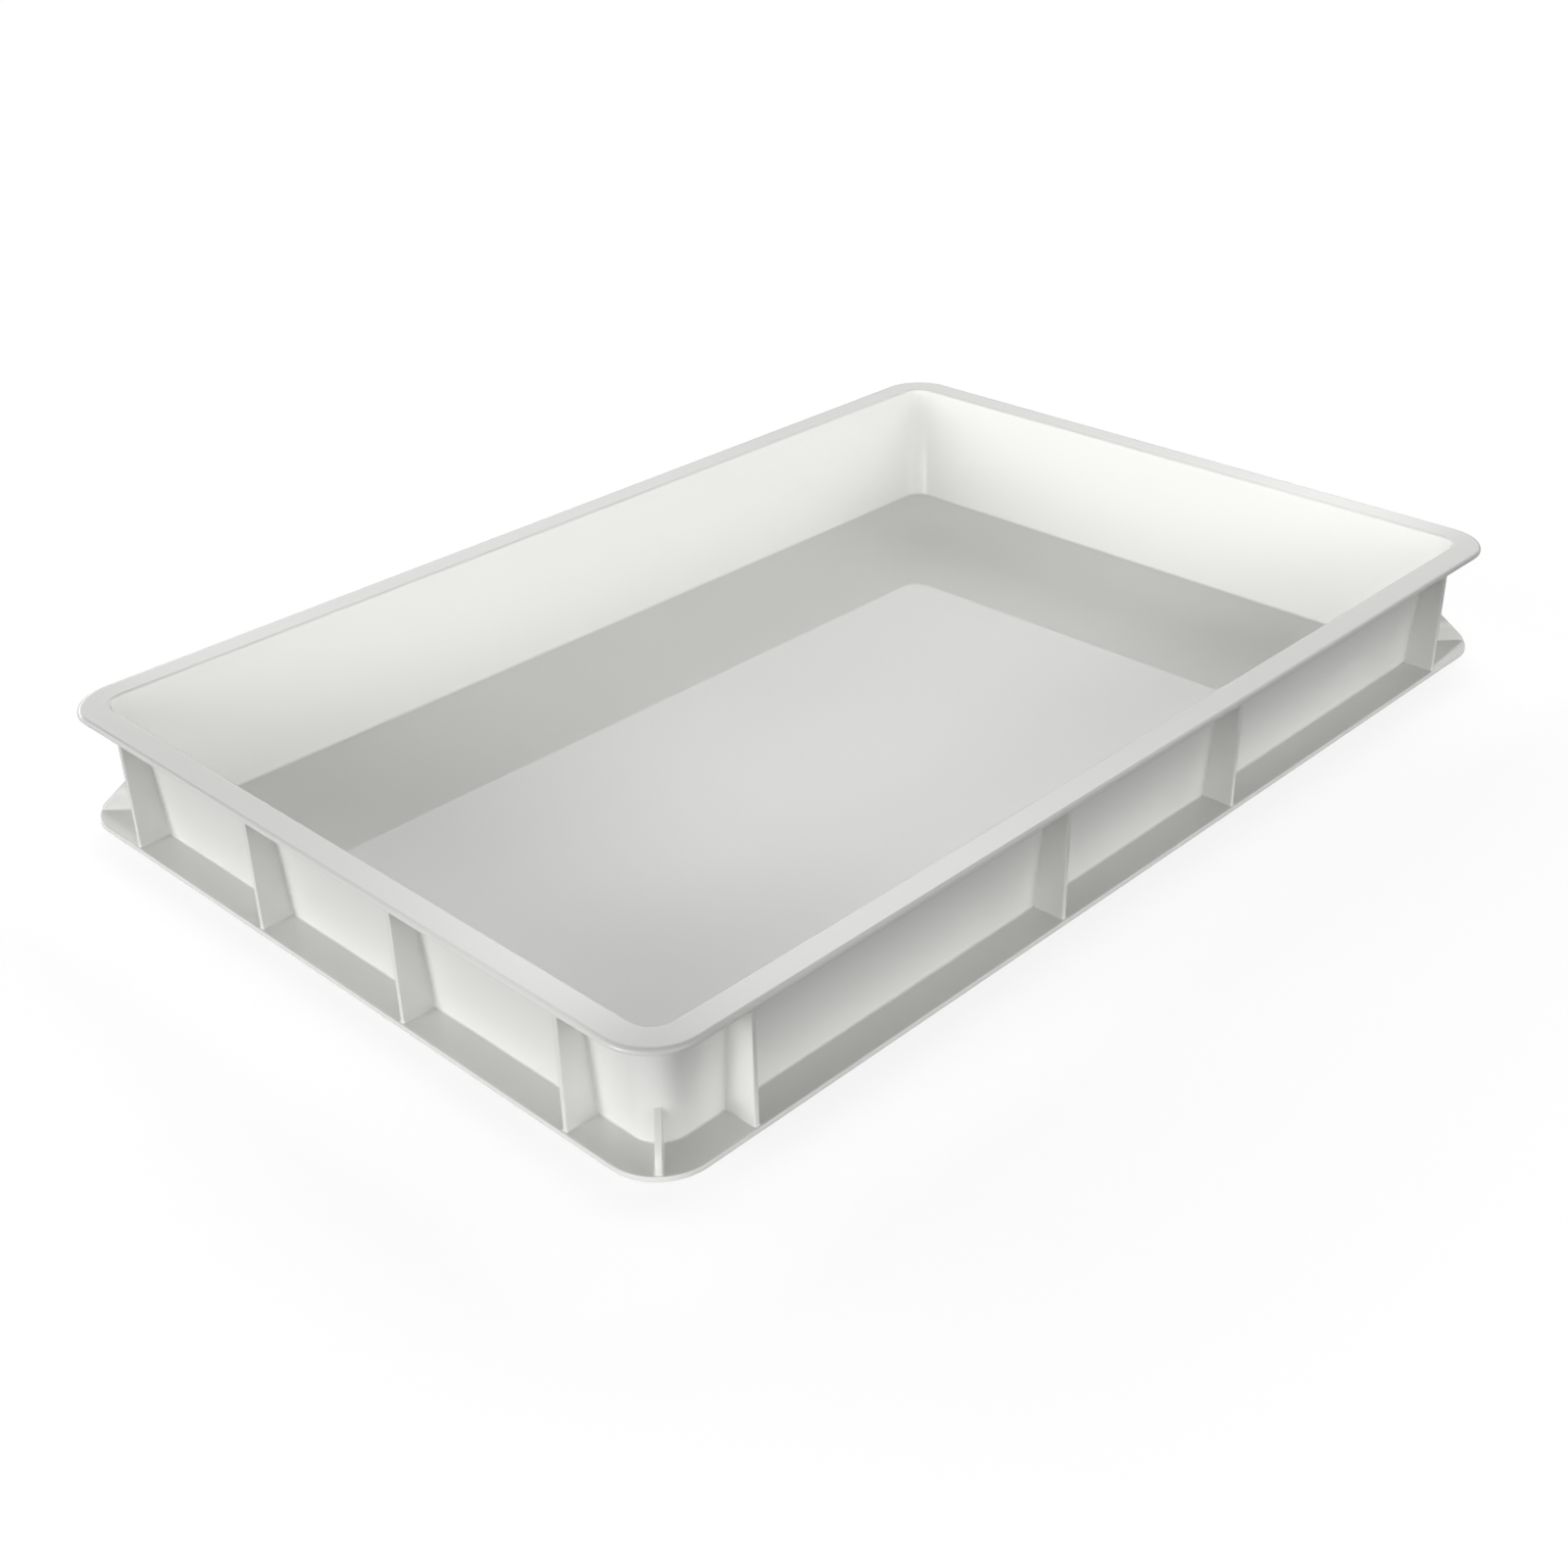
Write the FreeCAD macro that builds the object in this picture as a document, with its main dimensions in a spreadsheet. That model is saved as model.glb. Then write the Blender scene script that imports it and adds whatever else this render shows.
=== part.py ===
import FreeCAD, Part
import os
import Sketcher

# Dough proofing container: a shallow stacking tray moulded in white plastic.
# Its rim and its base flange share one outline, and the floor hangs below the
# flange, so that it drops inside the rim of the tray underneath.
# Frame: origin at the middle of the underside, X along the length, Z up, millimetres.

doc = FreeCAD.newDocument("dough_proofing_container")

# Driving sizes
size_values = {
    "tray_length": "600",
    "tray_width": "400",
    "tray_height": "70",
    "corner_radius": "25",
    "rim_width": "14.4",
    "rim_thickness": "2.6",
    "mouth_radius": "1.4",
    "basin_corner_radius": "11",
    "wall_thickness": "2",
    "wall_lean": "5.4",
    "floor_thickness": "3",
    "floor_edge_radius": "2",
    "nesting_depth": "11",
    "flange_thickness": "2.6",
    "edge_radius": "0.6",
    "rib_thickness": "2.4",
    "rib_setback": "1.3",
    "rib_edge_radius": "0.5",
    "rib_end_distance": "51.5",
    "grip_bay": "127",
    "gusset_thickness": "2.6",
    "gusset_height": "18",
    "gusset_nose": "1.4",
    "gusset_setback": "0.8",
}
sheet = doc.addObject("Spreadsheet::Sheet", "sizes")
for row, (alias, value) in enumerate(size_values.items(), start=1):
    sheet.set(f"A{row}", alias)
    sheet.set(f"B{row}", value)
    sheet.setAlias(f"B{row}", alias)
doc.recompute()

# Levels above the underside, as expressions on the sheet
underside = "0 * sizes.tray_height"
floor_top = "sizes.floor_thickness"
flange_low = "sizes.nesting_depth"
flange_top = "(sizes.nesting_depth + sizes.flange_thickness)"
rim_low = "(sizes.tray_height - sizes.rim_thickness)"
rim_top = "sizes.tray_height"

# Evenly spaced ribs on a short side, as shares of the way to the outer rib
short_rib_shares = ("-1", "-1 / 3", "1 / 3", "1")

# The rim's rounded shoulder takes up nearly all of its thickness above the lower edge
shoulder_share = "0.95"
rim_shoulder = f"{shoulder_share} * (sizes.rim_thickness - sizes.edge_radius)"


def basin_inset(level):
    """How far the basin's inner face stands in from the tray's outline at a level."""
    climb = f"({rim_top} - {level}) / ({rim_top} - {floor_top})"
    return f"(sizes.rim_width + sizes.wall_lean * {climb})"


def wall_inset(level):
    """How far the wall's outer face stands in from the tray's outline at a level."""
    return f"({basin_inset(level)} - sizes.wall_thickness)"


no_inset = "0 * sizes.rim_width"
basin_corner_radius = "sizes.basin_corner_radius"
wall_corner_radius = "(sizes.basin_corner_radius + sizes.wall_thickness)"


def origin_plane(body, role):
    return next(f for f in body.Origin.OriginFeatures if f.Role == role)


def bind(sketch, constraint, expression):
    """Adds a size constraint that follows an expression on the sheet."""
    index = sketch.addConstraint(constraint)
    sketch.setExpression(f"Constraints[{index}]", expression)


def rounded_rectangle(body, name, inset, radius, level):
    """A level sketch of the tray's outline drawn in by an inset, with round corners."""
    sketch = body.newObject("Sketcher::SketchObject", name)
    sketch.AttachmentSupport = [(origin_plane(body, "XY_Plane"), "")]
    sketch.MapMode = "FlatFace"
    sketch.setExpression("AttachmentOffset.Base.z", level)
    long_side = f"sizes.tray_length - 2 * {inset}"
    short_side = f"sizes.tray_width - 2 * {inset}"
    x = float(sketch.evalExpression(long_side)) / 2
    y = float(sketch.evalExpression(short_side)) / 2
    r = float(sketch.evalExpression(radius))
    turns = ((1, 1, 0), (-1, 1, 90), (-1, -1, 180), (1, -1, 270))
    for sx, sy, start in turns:
        centre = FreeCAD.Vector(sx * (x - r), sy * (y - r), 0)
        circle = Part.Circle(centre, FreeCAD.Vector(0, 0, 1), r)
        begin = FreeCAD.Units.parseQuantity(f"{start} deg").getValueAs("rad").Value
        end = FreeCAD.Units.parseQuantity(f"{start + 90} deg").getValueAs("rad").Value
        sketch.addGeometry(Part.ArcOfCircle(circle, begin, end))
    corners = (((x - r, y), (r - x, y)), ((-x, y - r), (-x, r - y)),
               ((r - x, -y), (x - r, -y)), ((x, r - y), (x, y - r)))
    for begin, end in corners:
        sketch.addGeometry(Part.LineSegment(FreeCAD.Vector(*begin, 0), FreeCAD.Vector(*end, 0)))
    for arc in range(4):
        side = arc + 4
        following = (arc + 1) % 4
        sketch.addConstraint(Sketcher.Constraint("Tangent", arc, 2, side, 1))
        sketch.addConstraint(Sketcher.Constraint("Tangent", side, 2, following, 1))
    for side, direction in zip(range(4, 8), ("Horizontal", "Vertical") * 2):
        sketch.addConstraint(Sketcher.Constraint(direction, side))
    for arc in range(1, 4):
        sketch.addConstraint(Sketcher.Constraint("Equal", 0, arc))
    sketch.addConstraint(Sketcher.Constraint("Symmetric", 0, 3, 2, 3, -1, 1))
    bind(sketch, Sketcher.Constraint("Radius", 0, r), radius)
    bind(sketch, Sketcher.Constraint("DistanceX", 5, 1, 7, 1, 2 * x), long_side)
    bind(sketch, Sketcher.Constraint("DistanceY", 6, 1, 4, 1, 2 * y), short_side)
    return sketch


def loft(body, kind, inset, radius, low, high):
    """A straight-sided loft between the outlines that an inset rule gives at two levels."""
    stem = f"{body.Name}_{kind.split('::')[1]}"
    below = rounded_rectangle(body, f"{stem}_low", inset(low), radius, low)
    above = rounded_rectangle(body, f"{stem}_high", inset(high), radius, high)
    feature = body.newObject(kind, stem)
    feature.Profile = below
    feature.Sections = [above]
    feature.Ruled = True
    doc.recompute()
    return feature


def plate(body, inset, radius, low, thickness):
    """A flat plate of the tray's outline drawn in by an inset, from a level upwards."""
    outline = rounded_rectangle(body, f"{body.Name}_outline", inset, radius, low)
    pad = body.newObject("PartDesign::Pad", f"{body.Name}_pad")
    pad.Profile = outline
    pad.setExpression("Length", thickness)
    doc.recompute()
    return pad


def level_edges(feature, level, outside=True):
    """Names of the edges round a flat face at a level: its outside, or its opening."""
    height = float(feature.evalExpression(level))
    names = []
    for face in feature.Shape.Faces:
        box = face.BoundBox
        if abs(box.ZMin - height) + abs(box.ZMax - height) > Part.Precision.approximation():
            continue
        for wire in face.Wires:
            if wire.isSame(face.OuterWire) == outside:
                names += [f"Edge{i}" for i, edge in enumerate(feature.Shape.Edges, start=1)
                          if any(edge.isSame(other) for other in wire.Edges)]
    return names


def round_edges(body, feature, edges, radius):
    fillet = body.newObject("PartDesign::Fillet", f"{body.Name}_rounding")
    fillet.Base = (feature, edges)
    fillet.setExpression("Radius", radius)
    doc.recompute()
    return fillet


def new_body(name):
    body = doc.addObject("PartDesign::Body", name)
    body.Label = name
    return body


# The floor, cut to the outside of the wall's foot, with a rounded lower edge
floor_panel = new_body("floor_panel")
slab = plate(floor_panel, wall_inset(floor_top), wall_corner_radius, underside, "sizes.floor_thickness")
round_edges(floor_panel, slab, level_edges(slab, underside), "sizes.floor_edge_radius")

# The leaning wall, one ring from the floor up to the rim
side_wall = new_body("side_wall")
loft(side_wall, "PartDesign::AdditiveLoft", wall_inset, wall_corner_radius, floor_top, rim_low)
loft(side_wall, "PartDesign::SubtractiveLoft", basin_inset, basin_corner_radius, floor_top, rim_low)

# The flat rim, open over the basin, with a round outer shoulder and a rounded mouth
top_rim = new_body("top_rim")
plate(top_rim, no_inset, "sizes.corner_radius", rim_low, "sizes.rim_thickness")
mouth = loft(top_rim, "PartDesign::SubtractiveLoft", basin_inset, basin_corner_radius, rim_low, rim_top)
shoulder = round_edges(top_rim, mouth, level_edges(mouth, rim_top), rim_shoulder)
lip = round_edges(top_rim, shoulder, level_edges(shoulder, rim_top, False), "sizes.mouth_radius")
round_edges(top_rim, lip, level_edges(lip, rim_low), "sizes.edge_radius")

# The base flange, which stands on the rim of the tray underneath
base_flange = new_body("base_flange")
plate(base_flange, no_inset, "sizes.corner_radius", flange_low, "sizes.flange_thickness")
collar = loft(base_flange, "PartDesign::SubtractiveLoft", wall_inset, wall_corner_radius,
              flange_low, flange_top)
flange_edges = level_edges(collar, flange_low) + level_edges(collar, flange_top)
round_edges(base_flange, collar, flange_edges, "sizes.edge_radius")


def outline_sketch(body, name, points):
    """An upright sketch on the XZ plane through points given as pairs of expressions."""
    sketch = body.newObject("Sketcher::SketchObject", name)
    sketch.AttachmentSupport = [(origin_plane(body, "XZ_Plane"), "")]
    sketch.MapMode = "FlatFace"
    places = [[float(sketch.evalExpression(text)) for text in point] for point in points]
    count = len(points)
    for i in range(count):
        begin = FreeCAD.Vector(*places[i], 0)
        end = FreeCAD.Vector(*places[(i + 1) % count], 0)
        sketch.addGeometry(Part.LineSegment(begin, end))
    for i in range(count):
        sketch.addConstraint(Sketcher.Constraint("Coincident", i, 2, (i + 1) % count, 1))
    for i in range(count):
        bind(sketch, Sketcher.Constraint("DistanceX", -1, 1, i, 1, places[i][0]), points[i][0])
        bind(sketch, Sketcher.Constraint("DistanceY", -1, 1, i, 1, places[i][1]), points[i][1])
    return sketch


def upright_plate(body, sketch, thickness):
    """Pads an upright sketch equally to both sides."""
    pad = body.newObject("PartDesign::Pad", f"{body.Name}_pad")
    pad.Profile = sketch
    pad.Midplane = True
    pad.setExpression("Length", thickness)
    doc.recompute()
    return pad


def rib(name, half, turn, along):
    """A plate rib between flange and rim, against the wall, turned about the tray's middle."""
    body = new_body(name)
    outer = f"{half} - sizes.rib_setback"
    points = ((f"{half} - {wall_inset(flange_top)}", flange_top),
              (outer, flange_top),
              (outer, rim_low),
              (f"{half} - {wall_inset(rim_low)}", rim_low))
    pad = upright_plate(body, outline_sketch(body, f"{name}_outline", points), "sizes.rib_thickness")
    reach = float(body.evalExpression(outer))
    free_edges = [f"Edge{i}" for i, edge in enumerate(pad.Shape.Edges, start=1)
                  if abs(edge.BoundBox.XMin - reach) < Part.Precision.approximation()
                  and edge.BoundBox.ZLength > edge.BoundBox.YLength]
    round_edges(body, pad, free_edges, "sizes.rib_edge_radius")
    body.Placement.Rotation = FreeCAD.Rotation(FreeCAD.Vector(0, 0, 1), turn)
    axis = "y" if turn in (0, 180) else "x"
    body.setExpression(f"Placement.Base.{axis}", along)
    return body


half_length = "sizes.tray_length / 2"
half_width = "sizes.tray_width / 2"
outer_short = f"({half_width} - sizes.rib_end_distance)"
outer_long = f"({half_length} - sizes.rib_end_distance)"
short_places = [f"{share} * {outer_short}" for share in short_rib_shares]
long_places = [f"-{outer_long}", "-sizes.grip_bay / 2", "sizes.grip_bay / 2", outer_long]
sides = (("right", half_length, 0, short_places), ("back", half_width, 90, long_places),
         ("left", half_length, 180, short_places), ("front", half_width, 270, long_places))
ribs = [rib(f"{side}_rib_{i}", half, turn, place)
        for side, half, turn, places in sides
        for i, place in enumerate(places, start=1)]


def gusset(name, sx, sy, turn):
    """A three-cornered web on the diagonal of a corner, from the wall down to the flange."""
    body = new_body(name)
    diagonal = "(sqrt(2) - 1)"
    foot = f"-{diagonal} * sizes.corner_radius - sizes.gusset_setback"
    low_wall = f"-sqrt(2) * ({wall_inset(flange_top)} + {wall_corner_radius})"
    high = f"({flange_top} + sizes.gusset_height)"
    high_wall = f"-sqrt(2) * {wall_inset(high)} - {diagonal} * {wall_corner_radius}"
    points = ((low_wall, flange_top),
              (foot, flange_top),
              (foot, f"{flange_top} + sizes.gusset_nose"),
              (high_wall, high),
              (low_wall, high))
    sketch = outline_sketch(body, f"{name}_outline", points)
    sketch.AttachmentOffset.Rotation = FreeCAD.Rotation(FreeCAD.Vector(0, 1, 0), turn)
    sketch.setExpression("AttachmentOffset.Base.x", f"{sx} * {half_length}")
    sketch.setExpression("AttachmentOffset.Base.z", f"{-sy} * {half_width}")
    upright_plate(body, sketch, "sizes.gusset_thickness")
    loft(body, "PartDesign::SubtractiveLoft", wall_inset, wall_corner_radius, flange_top, high)
    return body


corners = (("back_right", 1, 1, 45), ("back_left", -1, 1, 135),
           ("front_left", -1, -1, 225), ("front_right", 1, -1, 315))
gussets = [gusset(f"corner_gusset_{place}", sx, sy, turn) for place, sx, sy, turn in corners]

doc.recompute()
nodes = [floor_panel, side_wall, top_rim, base_flange] + ribs + gussets
for item in doc.Objects:
    if "Invalid" in item.State or "Error" in item.State:
        raise RuntimeError(f"{item.Label} did not build: {item.State}")
for node in nodes:
    shape = node.Shape
    if shape.isNull() or not shape.isValid() or len(shape.Solids) != 1:
        raise RuntimeError(f"{node.Label} is not one sound solid")

os.makedirs("parts", exist_ok=True)
for node in nodes:
    node.Shape.exportStep(f"parts/{node.Label}.step")
    box = node.Shape.optimalBoundingBox(False)
    print(f"{node.Label}: {node.Shape.Volume:.1f} mm3, x {box.XMin:.2f} to {box.XMax:.2f}, "
          f"y {box.YMin:.2f} to {box.YMax:.2f}, z {box.ZMin:.2f} to {box.ZMax:.2f}")
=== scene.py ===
import math

import bpy
import numpy as np
from mathutils import Matrix, Vector


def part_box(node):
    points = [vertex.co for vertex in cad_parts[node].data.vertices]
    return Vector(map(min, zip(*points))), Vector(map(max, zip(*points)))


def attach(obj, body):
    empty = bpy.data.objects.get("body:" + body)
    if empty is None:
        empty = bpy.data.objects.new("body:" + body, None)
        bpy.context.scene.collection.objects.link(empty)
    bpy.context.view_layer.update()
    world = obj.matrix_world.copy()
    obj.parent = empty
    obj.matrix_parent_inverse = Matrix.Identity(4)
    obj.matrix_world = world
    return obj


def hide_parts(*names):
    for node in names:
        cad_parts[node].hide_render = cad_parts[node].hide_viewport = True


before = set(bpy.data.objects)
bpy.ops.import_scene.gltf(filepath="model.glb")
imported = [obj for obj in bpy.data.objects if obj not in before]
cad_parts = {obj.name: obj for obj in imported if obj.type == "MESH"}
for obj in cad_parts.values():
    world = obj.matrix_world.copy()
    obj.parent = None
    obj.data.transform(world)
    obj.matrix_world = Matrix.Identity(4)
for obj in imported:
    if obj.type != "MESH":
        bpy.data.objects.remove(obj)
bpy.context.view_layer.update()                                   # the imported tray, in metres, Z up
print("frame loaded:", len(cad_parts), "nodes")

# Places read from the frame
outline = np.array(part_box("top_rim")[1])[:2]        # half the length and half the width
rimUnder, rimTop = (corner.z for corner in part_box("top_rim"))
flangeUnder, flangeTop = (corner.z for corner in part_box("base_flange"))
underside, floorTop = (corner.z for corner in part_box("floor_panel"))
wallFoot = outline[0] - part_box("floor_panel")[1].x  # inset of the wall's outer face at the floor
wallHead = outline[0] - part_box("side_wall")[1].x    # the same, under the rim


def wallInset(z):
    # the outer face leans in at a steady rate from under the rim down to the floor
    return wallFoot + (wallHead - wallFoot) * (z - floorTop) / (rimUnder - floorTop)


def skinPiece(name, rows, poles, nodes, finish):
    # rows[i, j] is step i along the profile and step j round the ring: the ring closes on itself,
    # the first and last rows close on their poles, and profile times ring points outwards
    count, around = rows.shape[:2]
    step, turn = np.meshgrid(np.arange(count - 1), np.arange(around), indexing="ij")
    after = (turn + 1) % around
    near, far = step * around, (step + 1) * around
    quads = np.stack((near + turn, far + turn, far + after, near + after), axis=-1).reshape(-1, 4)
    ring = np.arange(around)
    onward = (ring + 1) % around
    last = (count - 1) * around
    firstFan = np.stack((np.full(around, count * around), ring, onward), axis=-1)
    lastFan = np.stack((np.full(around, count * around + 1), last + onward, last + ring), axis=-1)
    mesh = bpy.data.meshes.new(name)
    points = np.concatenate((rows.reshape(-1, 3), np.array(poles)))
    mesh.from_pydata(points.tolist(), [], quads.tolist() + firstFan.tolist() + lastFan.tolist())
    mesh.shade_smooth()
    mesh.materials.append(finish)
    piece = bpy.data.objects.new(name, mesh)
    bpy.context.scene.collection.objects.link(piece)
    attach(piece, "root")
    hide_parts(*nodes)
    return piece


whitePlastic = {
    "colour": (0.80, 0.803, 0.782, 1.0),
    "cloudColour": (0.79, 0.793, 0.771, 1.0),       # faint clouds in the pigment
    "cloudScale": 7.0,
    "cloudDetail": 3.0,
    "roughness": (0.012, 0.025),
    "glossScale": 30.0,
    "glossDetail": 4.0,
    "grainScale": 1400.0,                           # the mould's fine polish marks
    "grainDetail": 2.0,
    "grainHeight": 0.000001,
    "refraction": 1.5,
    "specular": 0.6,
}


def makePlastic(look):
    material = bpy.data.materials.new("white_plastic_finish")
    material.use_nodes = True
    nodes, links = material.node_tree.nodes, material.node_tree.links
    shader = nodes["Principled BSDF"]
    shader.inputs["IOR"].default_value = look["refraction"]
    shader.inputs["Specular IOR Level"].default_value = look["specular"]
    place = nodes.new("ShaderNodeTexCoord").outputs["Object"]

    def noise(scale, detail):
        texture = nodes.new("ShaderNodeTexNoise")
        texture.inputs["Scale"].default_value = scale
        texture.inputs["Detail"].default_value = detail
        links.new(place, texture.inputs["Vector"])
        return texture.outputs["Fac"]

    clouds = nodes.new("ShaderNodeValToRGB")
    clouds.color_ramp.elements[0].color = look["cloudColour"]
    clouds.color_ramp.elements[1].color = look["colour"]
    links.new(noise(look["cloudScale"], look["cloudDetail"]), clouds.inputs["Fac"])
    links.new(clouds.outputs["Color"], shader.inputs["Base Color"])
    gloss = nodes.new("ShaderNodeMapRange")
    gloss.inputs["To Min"].default_value, gloss.inputs["To Max"].default_value = look["roughness"]
    links.new(noise(look["glossScale"], look["glossDetail"]), gloss.inputs["Value"])
    links.new(gloss.outputs["Result"], shader.inputs["Roughness"])
    grain = nodes.new("ShaderNodeBump")
    grain.inputs["Distance"].default_value = look["grainHeight"]
    links.new(noise(look["grainScale"], look["grainDetail"]), grain.inputs["Height"])
    links.new(grain.outputs["Normal"], shader.inputs["Normal"])
    return material


plastic = makePlastic(whitePlastic)
print("finish made:", plastic.name)

trayShell = {
    "outlineCorner": 0.025,                         # plan radius of the rim's and the flange's corners
    "basinCorner": 0.011,
    "wallThickness": 0.002,
    "floorCove": 0.0012,                            # roundings along the section, from the floor outwards
    "mouth": 0.0014,
    "rimShoulder": 0.0019,
    "edge": 0.0006,
    "rimRoot": 0.0008,
    "flangeRoot": 0.0008,
    "foot": 0.002,
    "floorRun": 0.008,                              # flat ring inside the cove
    "middleShares": (0.2, 0.4, 0.6, 0.8),           # rings of the same outline towards the middle
    "arcSteps": 7,
    "cornerSteps": 22,
    "sideSteps": 18,
    "sideEnd": 0.02,                                # first point of a side, as a share of a step
    "hold": 0.0004,
    "holdShare": 0.3,
}


def roundedSection(corners, roundings, arcSteps, hold, holdShare):
    # corners has columns inset, height and plan radius. Each inner corner gives way to an arc tangent to
    # both of its sides: start + r sin(a) along + r (1 - cos(a)) across, with a from zero to the turn.
    # A holding row on either side of each arc keeps the flats flat in smooth shading.
    way = np.diff(corners[:, :2], axis=0)
    length = np.linalg.norm(way, axis=1)
    way = way / length[:, None]
    before, beyond = way[:-1], way[1:]
    cosine = np.sum(before * beyond, axis=1)
    turn = np.arccos(cosine)
    reach = roundings * np.tan(turn / 2)
    across = (beyond - cosine[:, None] * before) / np.sin(turn)[:, None]
    start = corners[1:-1, :2] - reach[:, None] * before
    end = corners[1:-1, :2] + reach[:, None] * beyond
    angle = turn[:, None] * np.linspace(0, 1, arcSteps + 1)
    along = (roundings[:, None] * np.sin(angle))[..., None] * before[:, None]
    inward = (roundings[:, None] * (1 - np.cos(angle)))[..., None] * across[:, None]
    arcs = start[:, None] + along + inward
    spare = length - np.append(reach, 0) - np.append(0, reach)
    room = np.minimum(hold, holdShare * spare)
    holdIn = start - room[:-1, None] * before
    holdOut = end + room[1:, None] * beyond
    rows = np.concatenate((holdIn[:, None], arcs, holdOut[:, None]), axis=1)
    planIn = corners[1:-1, 2] + (corners[:-2, 2] - corners[1:-1, 2]) * reach / length[:-1]
    planOut = corners[1:-1, 2] + (corners[2:, 2] - corners[1:-1, 2]) * reach / length[1:]
    share = np.clip((np.arange(arcSteps + 3) - 1) / arcSteps, 0, 1)
    plan = planIn[:, None] + (planOut - planIn)[:, None] * share
    section = np.concatenate((rows, plan[..., None]), axis=2).reshape(-1, 3)
    return np.concatenate((corners[:1], section, corners[-1:]))


def outlineRings(inset, planRadius, cornerSteps, sideSteps, sideEnd):
    # the tray's outline drawn in by an inset, anticlockwise: a quarter turn about each corner's centre,
    # then points along the straight side to the next corner, close to its ends and evenly between
    quarter = np.linspace(0, math.pi / 2, cornerSteps + 1)
    angle = quarter + np.arange(4)[:, None] * math.pi / 2
    unit = np.stack((np.cos(angle), np.sin(angle)), axis=-1)
    signs = np.array(((1, 1), (-1, 1), (-1, -1), (1, -1)))
    centre = signs * (outline - (inset + planRadius)[:, None, None])
    arcs = centre[:, :, None] + planRadius[:, None, None, None] * unit
    begin = arcs[:, :, -1:]
    end = np.roll(arcs, -1, axis=1)[:, :, :1]
    share = np.linspace(0, 1, sideSteps + 1)
    share[0], share[-1] = sideEnd * share[1], 1 - sideEnd * share[1]
    sides = begin + (end - begin) * share[:, None]
    return np.concatenate((arcs, sides), axis=2).reshape(len(inset), -1, 2)


def makeShell(shell, finish):
    # one section carried round the outline: floor, basin wall, rim, outer wall, flange, foot and underside
    wide, narrow = shell["outlineCorner"], shell["basinCorner"]
    wall = narrow + shell["wallThickness"]
    basinFoot = wallInset(floorTop) + shell["wallThickness"]
    basinHead = wallInset(rimTop) + shell["wallThickness"]
    corners = np.array((
        (basinFoot + shell["floorRun"], floorTop, narrow),
        (basinFoot, floorTop, narrow),
        (basinHead, rimTop, narrow),
        (0, rimTop, wide),
        (0, rimUnder, wide),
        (wallInset(rimUnder), rimUnder, wall),
        (wallInset(flangeTop), flangeTop, wall),
        (0, flangeTop, wide),
        (0, flangeUnder, wide),
        (wallInset(flangeUnder), flangeUnder, wall),
        (wallFoot, underside, wall),
        (wallFoot + shell["floorRun"], underside, wall),
    ))
    order = (
        "floorCove", "mouth", "rimShoulder", "edge", "rimRoot",
        "flangeRoot", "edge", "edge", "flangeRoot", "foot",
    )
    roundings = np.array([shell[name] for name in order])
    section = roundedSection(corners, roundings, shell["arcSteps"], shell["hold"], shell["holdShare"])
    steps = (shell["cornerSteps"], shell["sideSteps"], shell["sideEnd"])
    rings = outlineRings(section[:, 0], section[:, 2], *steps)
    heights = np.broadcast_to(section[:, 1, None, None], rings.shape[:2] + (1,))
    rows = np.concatenate((rings, heights), axis=2)
    shares = np.array(shell["middleShares"])[:, None, None]
    shrink = np.concatenate((shares, shares, np.ones_like(shares)), axis=2)
    rows = np.concatenate((rows[:1] * shrink, rows, rows[-1:] * shrink[::-1]))
    poles = ((0, 0, floorTop), (0, 0, underside))
    covered = ("floor_panel", "side_wall", "top_rim", "base_flange")
    return skinPiece("tray_shell", rows, poles, covered, finish)


shellPiece = makeShell(trayShell, plastic)
print("tray shell made:", len(shellPiece.data.polygons), "faces")

fin = {
    "noseRounding": 0.0005,                         # the free edge of a rib or gusset
    "rootFillet": 0.0007,                           # where it springs from the wall
    "flare": 0.0006,                                # where it meets the rim and the flange
    "roomShare": 0.45,                              # roundings take up at most this share of a shallow web
    "sunk": 0.0006,                                 # how far it runs on inside its neighbours
    "arcSteps": 5,
    "hold": 0.0003,
}


def finRows(corner, outward, height, flare, nose, root, thickness):
    # a level section carried down the height. From the wall out: a hollow root arc, a flat side, a rounded
    # nose, and the same mirrored. The section stands out along its own normal by the flare at each height.
    quarter = np.linspace(0, math.pi / 2, fin["arcSteps"] + 1)
    depth = root - nose
    rootFillet = np.minimum(fin["rootFillet"], fin["roomShare"] * depth)[:, None]
    rounding = np.minimum(fin["noseRounding"], fin["roomShare"] * depth)[:, None]
    nose, root, flare = nose[:, None], root[:, None], flare[:, None]
    halfWide = thickness / 2
    hold = np.minimum(fin["hold"], fin["roomShare"] * (depth[:, None] - rootFillet - rounding))
    level = np.ones_like(root)
    inset = np.concatenate((
        root + fin["sunk"],
        root - rootFillet * (1 - np.cos(quarter)),
        root - rootFillet - hold,
        nose + rounding + hold,
        nose + rounding * (1 - np.sin(quarter)),
    ), axis=1)
    side = np.concatenate((
        halfWide + rootFillet,
        halfWide + rootFillet * (1 - np.sin(quarter)),
        halfWide * level,
        halfWide * level,
        halfWide - rounding * (1 - np.cos(quarter)),
    ), axis=1)
    out = np.concatenate(((0,), np.cos(quarter), (0, 0), np.sin(quarter)))
    beside = np.concatenate(((1,), np.sin(quarter), (1, 1), np.cos(quarter)))
    inset = inset - out * flare
    side = side + beside * flare
    inset = np.concatenate((inset, inset[:, ::-1]), axis=1)
    side = np.concatenate((-side, side[:, ::-1]), axis=1)
    sideways = np.array((-outward[1], outward[0]))
    plan = corner - inset[..., None] * outward + side[..., None] * sideways
    heights = np.broadcast_to(height[:, None, None], plan.shape[:2] + (1,))
    return np.concatenate((plan, heights), axis=2)


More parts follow.
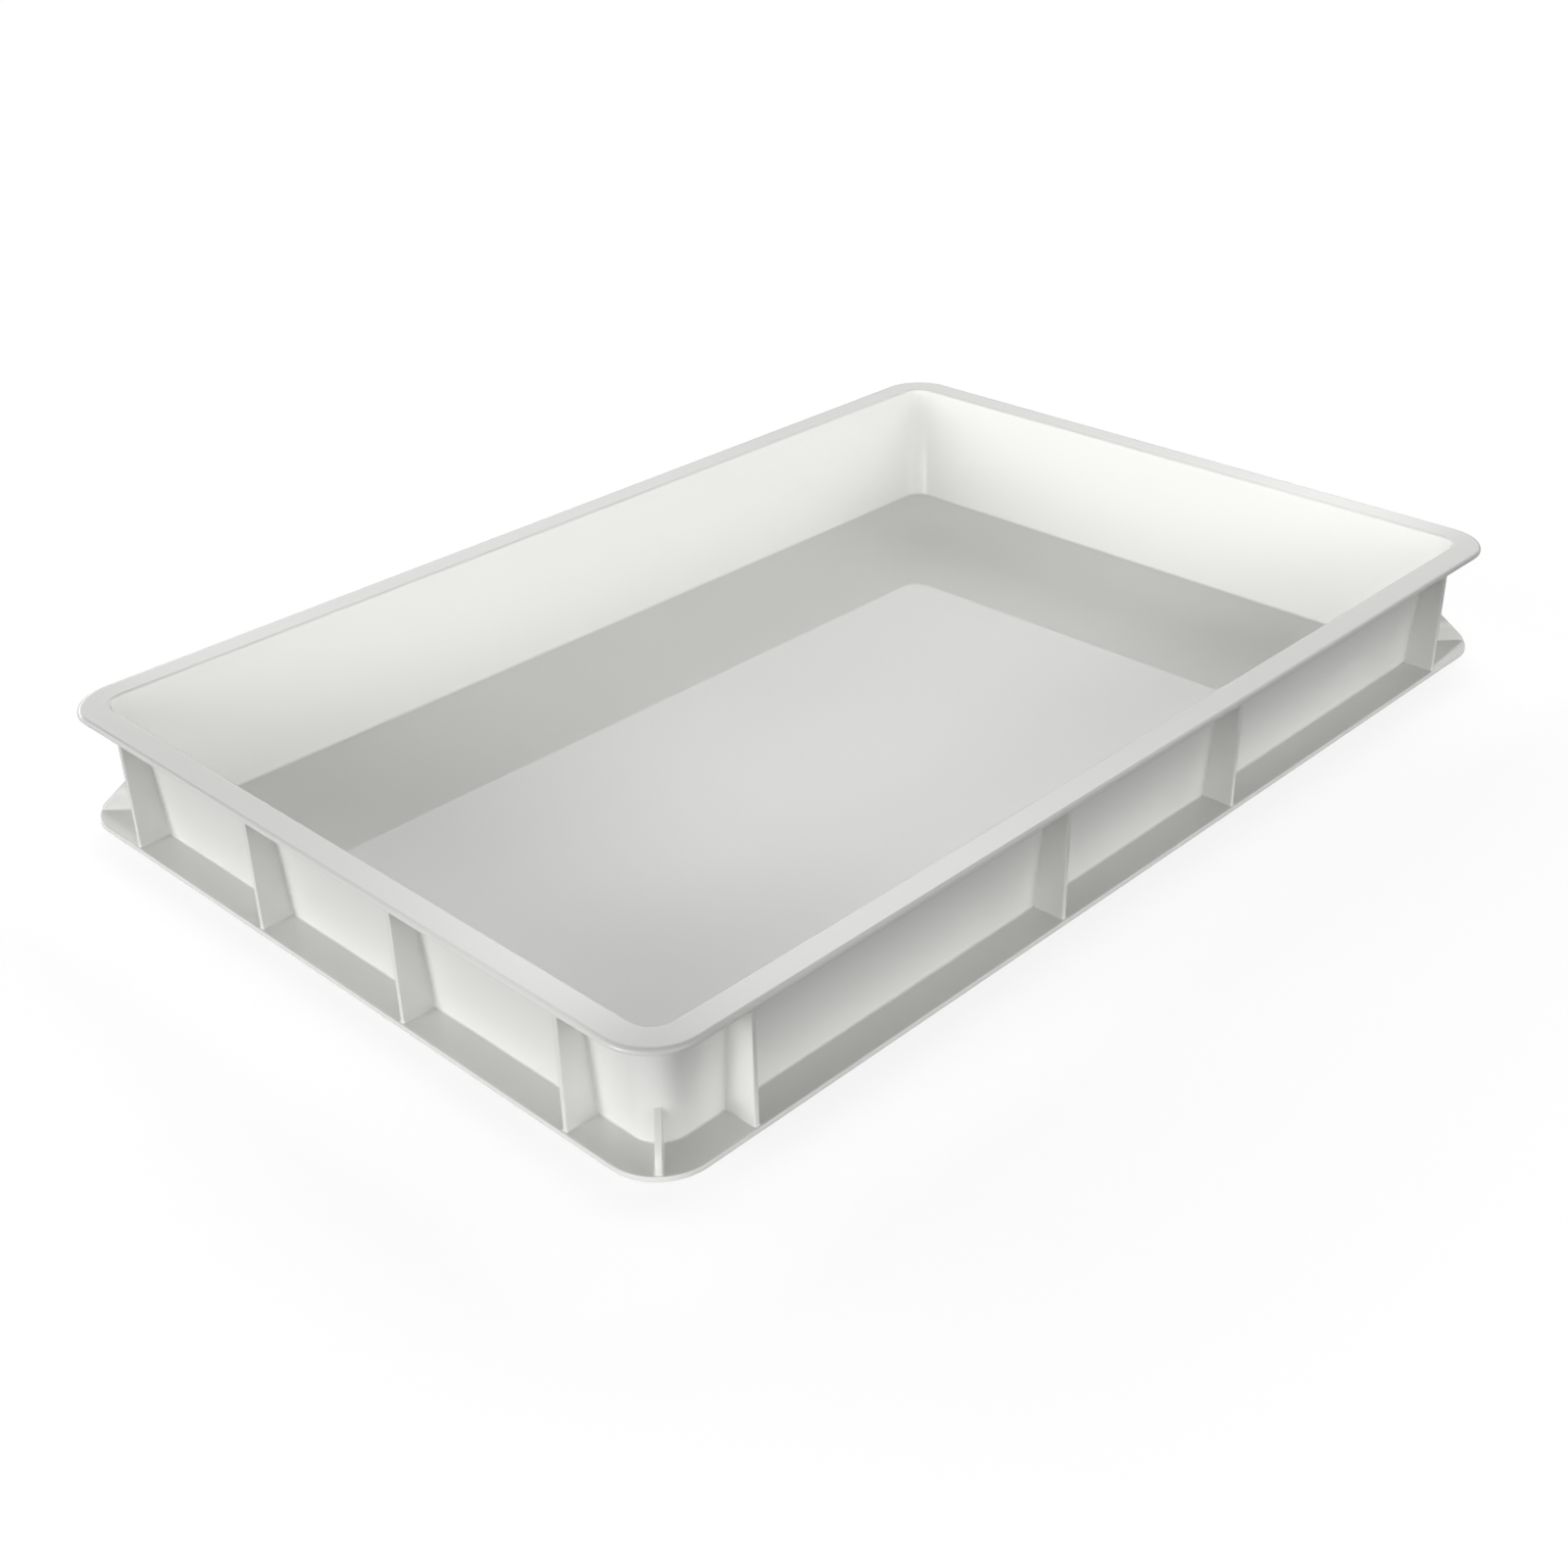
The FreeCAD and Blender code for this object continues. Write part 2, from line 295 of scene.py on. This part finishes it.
def flaredHeights(top, foot, headFlare):
    # heights from the top down: a hollow quarter arc r (1 - cos(a)) from the face, flared by r (1 - sin(a))
    radius, sunk, hold = fin["flare"], fin["sunk"], fin["hold"]
    quarter = np.linspace(0, math.pi / 2, fin["arcSteps"] + 1)
    fall, swell = radius * (1 - np.cos(quarter)), radius * (1 - np.sin(quarter))
    base = np.concatenate((foot + fall[::-1], (foot - sunk,)))
    baseFlare = np.append(swell[::-1], radius)
    if headFlare:
        head = np.concatenate(((top + sunk,), top - fall, (top - radius - hold,)))
        headFlares = np.concatenate(((radius,), swell, (0,)))
    else:
        head, headFlares = np.array((top,)), np.zeros(1)
    middle = np.array((foot + radius + hold,))
    return np.concatenate((head, middle, base)), np.concatenate((headFlares, (0,), baseFlare))


def finPoles(rows):
    return rows[0].mean(axis=0), rows[-1].mean(axis=0)


sideWays = {"right": (1, 0), "back": (0, 1), "left": (-1, 0), "front": (0, -1)}


def makeRib(node):
    # a rib stands square to its wall, and its nose and thickness come from the frame
    side, index = node.split("_rib_")
    outward = np.array(sideWays[side])
    axis = int(np.argmax(np.abs(outward)))
    low, high = (np.array(corner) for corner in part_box(node))
    corner = outline * outward
    corner[1 - axis] = (low[1 - axis] + high[1 - axis]) / 2
    noseInset = outline[axis] - np.max(np.abs((low[axis], high[axis])))
    height, flare = flaredHeights(rimUnder, flangeTop, True)
    thickness = high[1 - axis] - low[1 - axis]
    nose = np.full_like(height, noseInset)
    rows = finRows(corner, outward, height, flare, nose, wallInset(height), thickness)
    return skinPiece(f"rib_{side}_{index}", rows, finPoles(rows), (node,), plastic)


ribNodes = [name for name in sorted(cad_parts) if "_rib_" in name]
ribPieces = [makeRib(node) for node in ribNodes]
print("ribs made:", len(ribPieces))

gusset = {"thickness": 0.0026, "noseHeight": 0.0014}


def makeGusset(node):
    # a web on the corner's diagonal whose nose climbs from the flange's edge back to the wall
    low, high = (np.array(corner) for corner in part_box(node))
    signs = np.sign((low + high)[:2])
    tip = np.max(np.abs((low, high)), axis=0)
    diagonal = math.sqrt(2)
    footInset = diagonal * (outline[0] - tip[0]) + gusset["thickness"] / 2
    climbFrom = flangeTop + gusset["noseHeight"]
    height, flare = flaredHeights(high[2], flangeTop, False)
    height = np.insert(height, 1, climbFrom)
    flare = np.insert(flare, 1, 0)
    wallRadius = trayShell["basinCorner"] + trayShell["wallThickness"]
    root = diagonal * wallInset(height) + (diagonal - 1) * wallRadius
    climb = np.clip((height - climbFrom) / (high[2] - climbFrom), 0, 1)
    nose = footInset + (root[0] - footInset) * climb
    rows = finRows(outline * signs, signs / diagonal, height, flare, nose, root, gusset["thickness"])
    return skinPiece(node.replace("corner_gusset", "gusset"), rows, finPoles(rows), (node,), plastic)


gussetNodes = [name for name in sorted(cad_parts) if name.startswith("corner_gusset")]
gussetPieces = [makeGusset(node) for node in gussetNodes]
print("gussets made:", len(gussetPieces))

studioFloor = {
    "halfSize": 30.0,
    "seenPaint": 0.36,                              # shows the tray's shadow to the camera
    "thrownPaint": 0.08,                            # throws little light up under the rim
    "glow": 0.8,                                    # seen by the camera, so the floor looks white
    "glossGlow": 0.4,                               # seen in gloss
}


def addMath(tree, operation, *values):
    node = tree.nodes.new("ShaderNodeMath")
    node.operation = operation
    for socket, value in zip(node.inputs, values):
        if isinstance(value, bpy.types.NodeSocket):
            tree.links.new(value, socket)
        else:
            socket.default_value = value
    return node.outputs["Value"]


def makeFloorPaint(look):
    # grey paint, and a glow for the rays that show the floor as background
    material = bpy.data.materials.new("studio_floor_paint")
    material.use_nodes = True
    tree = material.node_tree
    nodes, links = tree.nodes, tree.links
    nodes.remove(nodes["Principled BSDF"])
    ray = nodes.new("ShaderNodeLightPath").outputs
    paint = nodes.new("ShaderNodeBsdfDiffuse")
    thrown, more = look["thrownPaint"], look["seenPaint"] - look["thrownPaint"]
    links.new(addMath(tree, "MULTIPLY_ADD", ray["Is Camera Ray"], more, thrown), paint.inputs["Color"])
    glow = addMath(tree, "MULTIPLY", ray["Is Camera Ray"], look["glow"])
    glow = addMath(tree, "MULTIPLY_ADD", ray["Is Glossy Ray"], look["glossGlow"], glow)
    glow = addMath(tree, "MULTIPLY_ADD", ray["Is Transmission Ray"], look["glossGlow"], glow)
    shine = nodes.new("ShaderNodeEmission")
    links.new(glow, shine.inputs["Strength"])
    both = nodes.new("ShaderNodeAddShader")
    links.new(paint.outputs["BSDF"], both.inputs[0])
    links.new(shine.outputs["Emission"], both.inputs[1])
    links.new(both.outputs["Shader"], nodes["Material Output"].inputs["Surface"])
    return material


def makeFloor(look):
    # a level square: the corner signs times the half size, at the underside's height
    signs = np.array(((-1, -1), (1, -1), (1, 1), (-1, 1)))
    points = np.column_stack((signs * look["halfSize"], np.full(len(signs), underside)))
    mesh = bpy.data.meshes.new("studio_floor")
    mesh.from_pydata(points.tolist(), [], [tuple(range(len(signs)))])
    mesh.materials.append(makeFloorPaint(look))
    floor = bpy.data.objects.new("studio_floor", mesh)
    bpy.context.scene.collection.objects.link(floor)
    return floor


makeFloor(studioFloor)
print("floor made")

# A ring has pairs of a height's sine and its share, and pairs of a turn in degrees from +X and its share
skyRings = {
    "near_ring": {                                  # from the left round to the front
        "strength": 4.9,
        "heights": ((0.0, 0.0), (0.07, 0.2), (0.16, 0.8), (0.27, 1.0), (0.4, 0.2), (0.56, 0.0)),
        "turns": ((0, 0.0), (135, 0.0), (180, 1.0), (225, 0.37), (270, 0.78), (315, 0.0)),
    },
    "back_glow": {                                  # mirrored by the far rim and the basin's left end
        "strength": 8.5,
        "heights": ((0.07, 0.0), (0.16, 0.08), (0.27, 1.0), (0.4, 0.35), (0.56, 0.0)),
        "turns": ((0, 0.28), (45, 0.15), (90, 1.0), (135, 0.0), (315, 0.0)),
    },
    "high_glow": {                                  # mirrored by the middle of the basin
        "strength": 2.73,
        "heights": ((0.27, 0.0), (0.4, 0.48), (0.46, 0.58), (0.53, 1.0), (0.58, 1.0), (0.76, 0.0)),
        "turns": ((0, 0.77), (40, 1.0), (47, 0.95), (57, 0.53), (90, 0.0), (315, 0.0)),
    },
}
# A box is placed and measured in degrees: it is full out to one radius and fades away at the other
softBoxes = {
    "left_box": {"turn": 170, "height": 9, "fade": 15, "full": 3, "strength": 10.9},
    "front_box": {"turn": 280, "height": 9, "fade": 15, "full": 3, "strength": 0.64},
    "right_box": {"turn": 330, "height": 37, "fade": 15, "full": 3, "strength": 1.34},
}
fullTurn = 360
white = (1.0, 1.0, 1.0, 1.0)


def towards(turn, height):
    turn, height = math.radians(turn), math.radians(height)
    level = math.cos(height)
    return level * math.cos(turn), level * math.sin(turn), math.sin(height)


def makeSky(rings, boxes):
    # brightness = the sum of each ring's strength x a share by height x a share by turn, and of each
    # box's strength faded smoothly over the cosine of the angle to its middle
    sky = bpy.data.worlds.new("studio_sky")
    sky.use_nodes = True
    tree = sky.node_tree
    nodes, links = tree.nodes, tree.links

    def addRamp(value, shares):
        ramp = nodes.new("ShaderNodeValToRGB")
        links.new(value, ramp.inputs["Fac"])
        stops = ramp.color_ramp.elements
        stops.remove(stops[1])
        for index, (place, share) in enumerate(shares):
            stop = stops.new(place) if index else stops[0]
            stop.position = place
            stop.color = (share, share, share, 1.0)
        return ramp.outputs["Color"]

    way = nodes.new("ShaderNodeTexCoord").outputs["Generated"]
    parts = nodes.new("ShaderNodeSeparateXYZ")
    links.new(way, parts.inputs["Vector"])
    angle = addMath(tree, "ARCTAN2", parts.outputs["Y"], parts.outputs["X"])
    turn = addMath(tree, "FRACT", addMath(tree, "DIVIDE", angle, math.tau))
    total = 0.0
    for ring in rings.values():
        turns = ring["turns"] + ((fullTurn, ring["turns"][0][1]),)
        byTurn = addRamp(turn, [(degrees / fullTurn, share) for degrees, share in turns])
        byHeight = addRamp(parts.outputs["Z"], ring["heights"])
        share = addMath(tree, "MULTIPLY", byTurn, byHeight)
        total = addMath(tree, "MULTIPLY_ADD", share, ring["strength"], total)
    for box in boxes.values():
        nearness = nodes.new("ShaderNodeVectorMath")
        nearness.operation = "DOT_PRODUCT"
        nearness.inputs[1].default_value = towards(box["turn"], box["height"])
        links.new(way, nearness.inputs[0])
        patch = nodes.new("ShaderNodeMapRange")
        patch.interpolation_type = "SMOOTHSTEP"
        patch.inputs["From Min"].default_value = math.cos(math.radians(box["fade"]))
        patch.inputs["From Max"].default_value = math.cos(math.radians(box["full"]))
        patch.inputs["To Max"].default_value = box["strength"]
        links.new(nearness.outputs["Value"], patch.inputs["Value"])
        total = addMath(tree, "ADD", total, patch.outputs["Result"])
    light = nodes["Background"]
    light.inputs["Color"].default_value = white
    links.new(total, light.inputs["Strength"])
    backdrop = nodes.new("ShaderNodeBackground")
    backdrop.inputs["Color"].default_value = white
    shown = nodes.new("ShaderNodeMixShader")
    links.new(nodes.new("ShaderNodeLightPath").outputs["Is Camera Ray"], shown.inputs["Fac"])
    links.new(light.outputs["Background"], shown.inputs[1])
    links.new(backdrop.outputs["Background"], shown.inputs[2])
    links.new(shown.outputs["Shader"], nodes["World Output"].inputs["Surface"])
    bpy.context.scene.world = sky
    return sky


makeSky(skyRings, softBoxes)
print("sky made")

lamps = {
    "front_fill": {                                 # just over the near rims, facing the far walls inside
        "place": (0.02, -0.215, 0.125),
        "aim": (0.02, 0.19, 0.06),
        "size": (0.7, 0.06),
        "power": 0.235,
        "spread": 70,                               # degrees
    },
    "left_fill": {
        "place": (-0.315, 0.0, 0.125),
        "aim": (0.29, 0.0, 0.06),
        "size": (0.46, 0.06),
        "power": 0.088,
        "spread": 70,
    },
    "low_front_fill": {                             # near the ground, facing the foot of the near walls
        "place": (0.0, -0.28, 0.014),
        "aim": (0.0, -0.2, 0.016),
        "size": (0.66, 0.012),
        "power": 0.028,
        "spread": 55,
    },
    "low_left_fill": {
        "place": (-0.38, 0.0, 0.014),
        "aim": (-0.3, 0.0, 0.018),
        "size": (0.46, 0.012),
        "power": 0.016,
        "spread": 70,
    },
    "back_fill": {                                  # below the rim's level, facing the far walls outside
        "place": (0.0, 0.6, 0.042),
        "aim": (0.0, 0.2, 0.042),
        "size": (0.7, 0.05),
        "power": 0.17,
        "spread": 70,
    },
    "right_fill": {
        "place": (0.7, 0.0, 0.042),
        "aim": (0.3, 0.0, 0.042),
        "size": (0.5, 0.05),
        "power": 0.17,
        "spread": 70,
    },
}


def makeLamp(name, look):
    light = bpy.data.lights.new(name, "AREA")
    light.shape = "RECTANGLE"
    light.size, light.size_y = look["size"]
    light.spread = math.radians(look["spread"])
    light.energy = look["power"]
    lamp = bpy.data.objects.new(name, light)
    lamp.location = look["place"]
    way = Vector(look["aim"]) - Vector(look["place"])
    lamp.rotation_euler = way.to_track_quat("-Z", "Y").to_euler()
    lamp.visible_camera = False
    lamp.visible_glossy = False
    bpy.context.scene.collection.objects.link(lamp)
    return lamp


for lampName, lampLook in lamps.items():
    makeLamp(lampName, lampLook)
bpy.context.scene.view_settings.view_transform = "Standard"
print("lamps made:", len(lamps))

cameraView = {
    "eye": (-0.65825, -0.62231, 0.49859),
    "azimuth": -45.286,                             # degrees, zero looks along +Y
    "elevation": 29.979,
    "roll": -1.391,
    "lens": 46.928,                                 # millimetres on the sensor below
    "sensor": 36.0,
}


def makeCamera(look):
    # the view's axes: right lies level, back points at the eye, and roll turns right and up about back
    azimuth, elevation, roll = (math.radians(look[name]) for name in ("azimuth", "elevation", "roll"))
    right = np.array((math.cos(azimuth), math.sin(azimuth), 0))
    level = np.array((math.sin(azimuth), -math.cos(azimuth), 0))
    back = level * math.cos(elevation) + np.array((0, 0, math.sin(elevation)))
    up = np.cross(back, right)
    turnedRight = math.cos(roll) * right + math.sin(roll) * up
    turnedUp = math.cos(roll) * up - math.sin(roll) * right
    camera = bpy.data.objects.new("camera", bpy.data.cameras.new("camera"))
    camera.data.lens, camera.data.sensor_width = look["lens"], look["sensor"]
    axes = np.eye(4)
    axes[:3] = np.stack((turnedRight, turnedUp, back, look["eye"]), axis=1)
    camera.matrix_world = Matrix(axes.tolist())
    bpy.context.scene.collection.objects.link(camera)
    bpy.context.scene.camera = camera
    return camera


makeCamera(cameraView)
print("camera made")
